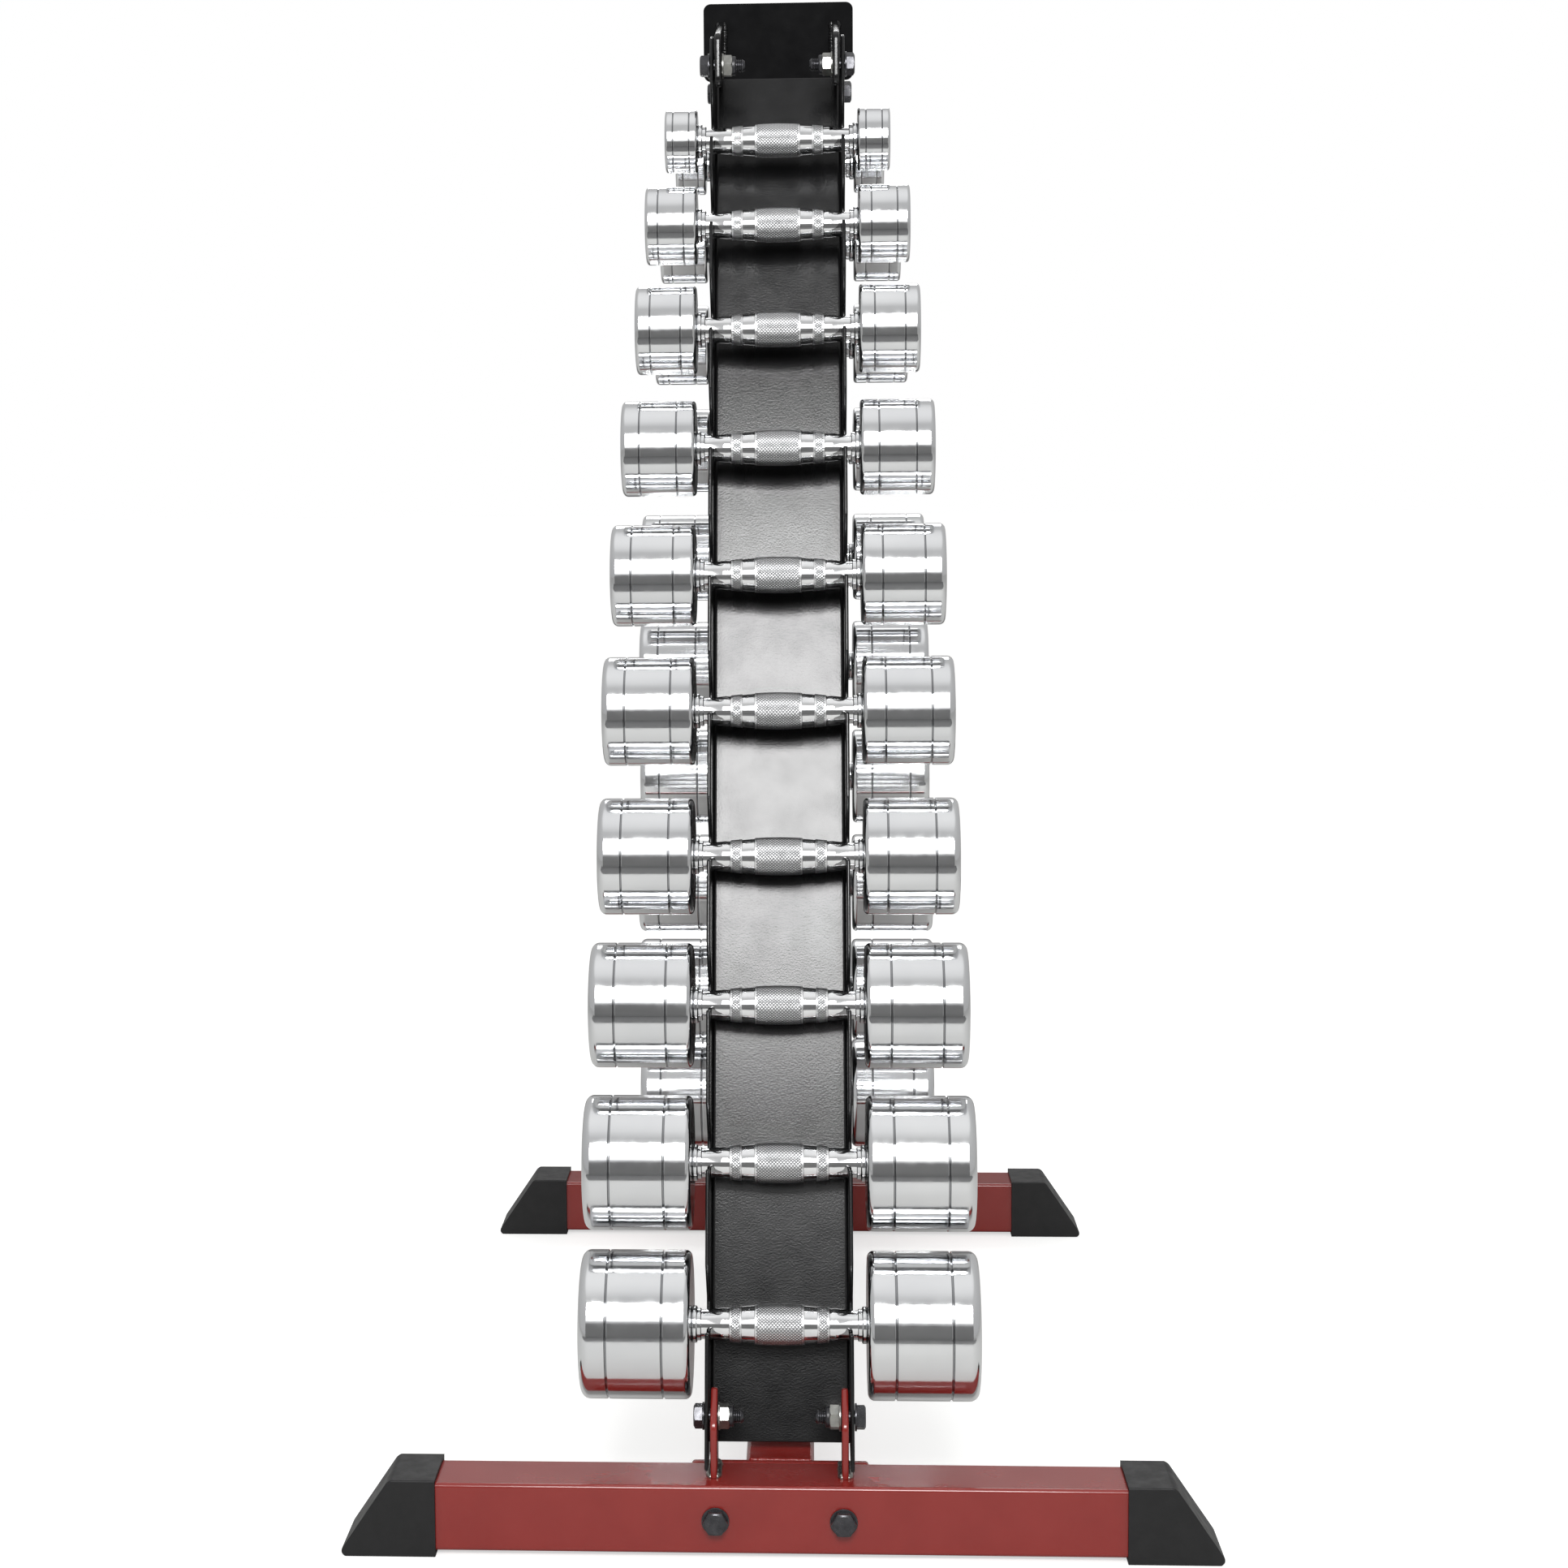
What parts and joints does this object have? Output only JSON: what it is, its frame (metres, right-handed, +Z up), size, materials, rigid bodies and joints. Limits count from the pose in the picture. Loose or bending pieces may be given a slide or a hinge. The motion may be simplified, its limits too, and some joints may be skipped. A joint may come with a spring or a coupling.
{
  "type": "dumbbell rack",
  "caption": "Free-standing A-frame rack with two leaning hook columns on square-tube feet, holding pairs of chrome dumbbells that lift out.",
  "frame": {"origin": "centre of the rack's footprint, on the floor", "axes": "+Z up, X along the dumbbells' handles, -Y towards the front foot"},
  "size_m": [0.633, 0.9076, 1.167],
  "materials": {
    "red_steel": "gloss red powder coat",
    "black_steel": "fine-textured black powder coat",
    "foot_caps": "satin moulded",
    "bolts": "black oxide",
    "nuts": "bright zinc plate",
    "dumbbells": "polished hard chrome"
  },
  "bodies": {
    "rack": {"base_beam": "red_steel", "front_column": "black_steel", "front_end_plate": "red_steel", "front_foot_tube": "red_steel", "front_left_base_bolt": "bolts", "front_left_base_lug": "red_steel", "front_left_base_nut": "nuts", "front_left_foot_bolt": "bolts", "front_left_foot_cap": "foot_caps", "front_left_top_bolt": "bolts", "front_left_top_lug": "black_steel", "front_left_top_nut": "nuts", "front_right_base_bolt": "bolts", "front_right_base_lug": "red_steel", "front_right_base_nut": "nuts", "front_right_foot_bolt": "bolts", "front_right_foot_cap": "foot_caps", "front_right_top_bolt": "bolts", "front_right_top_lug": "black_steel", "front_right_top_nut": "nuts", "rear_column": "black_steel", "rear_end_plate": "red_steel", "rear_foot_tube": "red_steel", "rear_left_base_bolt": "bolts", "rear_left_base_lug": "red_steel", "rear_left_base_nut": "nuts", "rear_left_foot_bolt": "bolts", "rear_left_foot_cap": "foot_caps", "rear_left_top_bolt": "bolts", "rear_left_top_lug": "black_steel", "rear_left_top_nut": "nuts", "rear_right_base_bolt": "bolts", "rear_right_base_lug": "red_steel", "rear_right_base_nut": "nuts", "rear_right_foot_bolt": "bolts", "rear_right_foot_cap": "foot_caps", "rear_right_top_bolt": "bolts", "rear_right_top_lug": "black_steel", "rear_right_top_nut": "nuts", "top_plate": "black_steel"},
    "front_dumbbell_10": {"front_dumbbell_10": "dumbbells"},
    "front_dumbbell_09": {"front_dumbbell_09": "dumbbells"},
    "front_dumbbell_08": {"front_dumbbell_08": "dumbbells"},
    "front_dumbbell_07": {"front_dumbbell_07": "dumbbells"},
    "front_dumbbell_06": {"front_dumbbell_06": "dumbbells"},
    "front_dumbbell_05": {"front_dumbbell_05": "dumbbells"},
    "front_dumbbell_04": {"front_dumbbell_04": "dumbbells"},
    "front_dumbbell_03": {"front_dumbbell_03": "dumbbells"},
    "front_dumbbell_02": {"front_dumbbell_02": "dumbbells"},
    "front_dumbbell_01": {"front_dumbbell_01": "dumbbells"},
    "rear_dumbbell_10": {"rear_dumbbell_10": "dumbbells"},
    "rear_dumbbell_09": {"rear_dumbbell_09": "dumbbells"},
    "rear_dumbbell_08": {"rear_dumbbell_08": "dumbbells"},
    "rear_dumbbell_07": {"rear_dumbbell_07": "dumbbells"},
    "rear_dumbbell_06": {"rear_dumbbell_06": "dumbbells"},
    "rear_dumbbell_05": {"rear_dumbbell_05": "dumbbells"},
    "rear_dumbbell_04": {"rear_dumbbell_04": "dumbbells"},
    "rear_dumbbell_03": {"rear_dumbbell_03": "dumbbells"},
    "rear_dumbbell_02": {"rear_dumbbell_02": "dumbbells"},
    "rear_dumbbell_01": {"rear_dumbbell_01": "dumbbells"}
  },
  "joints": [
    {"name": "front_lift_10", "type": "slide", "parent": "rack", "child": "front_dumbbell_10", "axis": [0, -0.7193, 0.6947], "range_m": [0, 0.12]},
    {"name": "front_lift_09", "type": "slide", "parent": "rack", "child": "front_dumbbell_09", "axis": [0, -0.7193, 0.6947], "range_m": [0, 0.12]},
    {"name": "front_lift_08", "type": "slide", "parent": "rack", "child": "front_dumbbell_08", "axis": [0, -0.7193, 0.6947], "range_m": [0, 0.12]},
    {"name": "front_lift_07", "type": "slide", "parent": "rack", "child": "front_dumbbell_07", "axis": [0, -0.7193, 0.6947], "range_m": [0, 0.12]},
    {"name": "front_lift_06", "type": "slide", "parent": "rack", "child": "front_dumbbell_06", "axis": [0, -0.7193, 0.6947], "range_m": [0, 0.12]},
    {"name": "front_lift_05", "type": "slide", "parent": "rack", "child": "front_dumbbell_05", "axis": [0, -0.7193, 0.6947], "range_m": [0, 0.12]},
    {"name": "front_lift_04", "type": "slide", "parent": "rack", "child": "front_dumbbell_04", "axis": [0, -0.7193, 0.6947], "range_m": [0, 0.12]},
    {"name": "front_lift_03", "type": "slide", "parent": "rack", "child": "front_dumbbell_03", "axis": [0, -0.7193, 0.6947], "range_m": [0, 0.12]},
    {"name": "front_lift_02", "type": "slide", "parent": "rack", "child": "front_dumbbell_02", "axis": [0, -0.7193, 0.6947], "range_m": [0, 0.12]},
    {"name": "front_lift_01", "type": "slide", "parent": "rack", "child": "front_dumbbell_01", "axis": [0, -0.7193, 0.6947], "range_m": [0, 0.12]},
    {"name": "rear_lift_10", "type": "slide", "parent": "rack", "child": "rear_dumbbell_10", "axis": [0, 0.7193, 0.6947], "range_m": [0, 0.12]},
    {"name": "rear_lift_09", "type": "slide", "parent": "rack", "child": "rear_dumbbell_09", "axis": [0, 0.7193, 0.6947], "range_m": [0, 0.12]},
    {"name": "rear_lift_08", "type": "slide", "parent": "rack", "child": "rear_dumbbell_08", "axis": [0, 0.7193, 0.6947], "range_m": [0, 0.12]},
    {"name": "rear_lift_07", "type": "slide", "parent": "rack", "child": "rear_dumbbell_07", "axis": [0, 0.7193, 0.6947], "range_m": [0, 0.12]},
    {"name": "rear_lift_06", "type": "slide", "parent": "rack", "child": "rear_dumbbell_06", "axis": [0, 0.7193, 0.6947], "range_m": [0, 0.12]},
    {"name": "rear_lift_05", "type": "slide", "parent": "rack", "child": "rear_dumbbell_05", "axis": [0, 0.7193, 0.6947], "range_m": [0, 0.12]},
    {"name": "rear_lift_04", "type": "slide", "parent": "rack", "child": "rear_dumbbell_04", "axis": [0, 0.7193, 0.6947], "range_m": [0, 0.12]},
    {"name": "rear_lift_03", "type": "slide", "parent": "rack", "child": "rear_dumbbell_03", "axis": [0, 0.7193, 0.6947], "range_m": [0, 0.12]},
    {"name": "rear_lift_02", "type": "slide", "parent": "rack", "child": "rear_dumbbell_02", "axis": [0, 0.7193, 0.6947], "range_m": [0, 0.12]},
    {"name": "rear_lift_01", "type": "slide", "parent": "rack", "child": "rear_dumbbell_01", "axis": [0, 0.7193, 0.6947], "range_m": [0, 0.12]}
  ]
}
